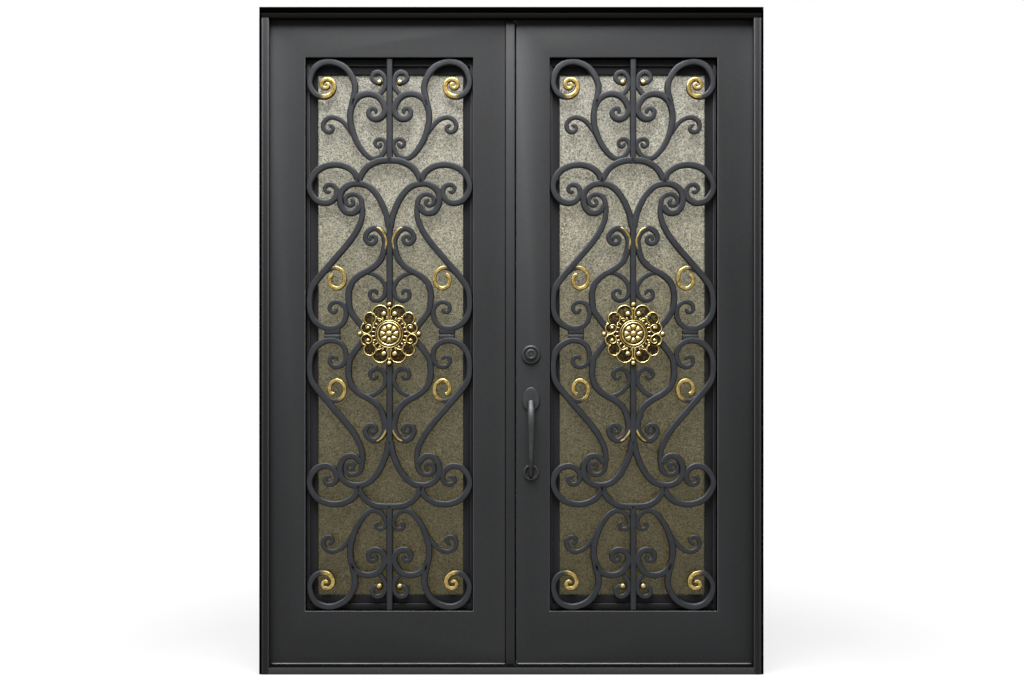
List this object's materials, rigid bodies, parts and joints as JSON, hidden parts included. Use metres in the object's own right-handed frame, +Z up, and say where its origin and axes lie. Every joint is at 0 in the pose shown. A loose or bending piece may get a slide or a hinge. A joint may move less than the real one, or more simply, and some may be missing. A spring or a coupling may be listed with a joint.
{
  "type": "wrought iron double door",
  "caption": "Tall inward opening double entrance door in a steel frame, with forged scroll grilles, gilt medallions and obscure glass in both leaves.",
  "frame": {"origin": "middle of the sill's underside, in the plane of the leaves' outer face", "axes": "+X to the right seen from outside, +Y inwards, +Z up"},
  "size_m": [1.842, 0.1672, 2.438],
  "materials": {
    "leaf_paint": "satin charcoal powder coat",
    "frame_paint": "satin charcoal powder coat, black in the outer rebate",
    "sill_paint": "worn satin charcoal",
    "sash_paint": "satin dark charcoal",
    "grille_paint": "hand forged bars in satin slate paint, gilt at some curls",
    "gilt_metal": "antique gold leaf with dark recesses",
    "obscure_glass": "hammered obscure glass",
    "seal_rubber": "matt black",
    "drip_steel": "brushed",
    "hinge_steel": "satin charcoal",
    "lock_bronze": "dark bronze"
  },
  "bodies": {
    "frame": {"left_jamb": "frame_paint", "right_jamb": "frame_paint", "head_jamb": "frame_paint", "sill": "sill_paint", "weather_seals": "seal_rubber", "left_frame_hinges": "hinge_steel", "right_frame_hinges": "hinge_steel"},
    "left_leaf": {"left_hinge_stile": "leaf_paint", "left_meeting_stile": "leaf_paint", "left_top_rail": "leaf_paint", "left_bottom_rail": "leaf_paint", "left_lite_ledge": "sash_paint", "left_sash": "sash_paint", "left_glass": "obscure_glass", "left_glazing_bead": "sash_paint", "left_grille": "grille_paint", "left_medallion": "gilt_metal", "left_door_sweep": "seal_rubber", "left_drip_bar": "drip_steel", "left_leaf_hinges": "hinge_steel", "cover_strip": "leaf_paint", "meeting_seal": "seal_rubber"},
    "right_leaf": {"right_hinge_stile": "leaf_paint", "right_meeting_stile": "leaf_paint", "right_top_rail": "leaf_paint", "right_bottom_rail": "leaf_paint", "right_lite_ledge": "sash_paint", "right_sash": "sash_paint", "right_glass": "obscure_glass", "right_glazing_bead": "sash_paint", "right_grille": "grille_paint", "right_medallion": "gilt_metal", "right_door_sweep": "seal_rubber", "right_drip_bar": "drip_steel", "right_leaf_hinges": "hinge_steel", "deadbolt_rose": "lock_bronze", "deadbolt_cylinder": "lock_bronze", "thumbturn_rose": "lock_bronze", "thumbturn": "lock_bronze", "outer_pull_plate": "lock_bronze", "outer_pull_grip": "lock_bronze", "outer_pull_rose": "lock_bronze", "inner_pull_plate": "lock_bronze", "inner_pull_grip": "lock_bronze", "inner_pull_rose": "lock_bronze"}
  },
  "joints": [
    {"name": "left_leaf_swing", "type": "hinge", "parent": "frame", "child": "left_leaf", "pos_m": [-0.899, 0.066, 1.2195], "axis": [0, 0, 1], "range_deg": [0, 105]},
    {"name": "right_leaf_swing", "type": "hinge", "parent": "frame", "child": "right_leaf", "pos_m": [0.899, 0.066, 1.2195], "axis": [0, 0, -1], "range_deg": [0, 105]}
  ]
}
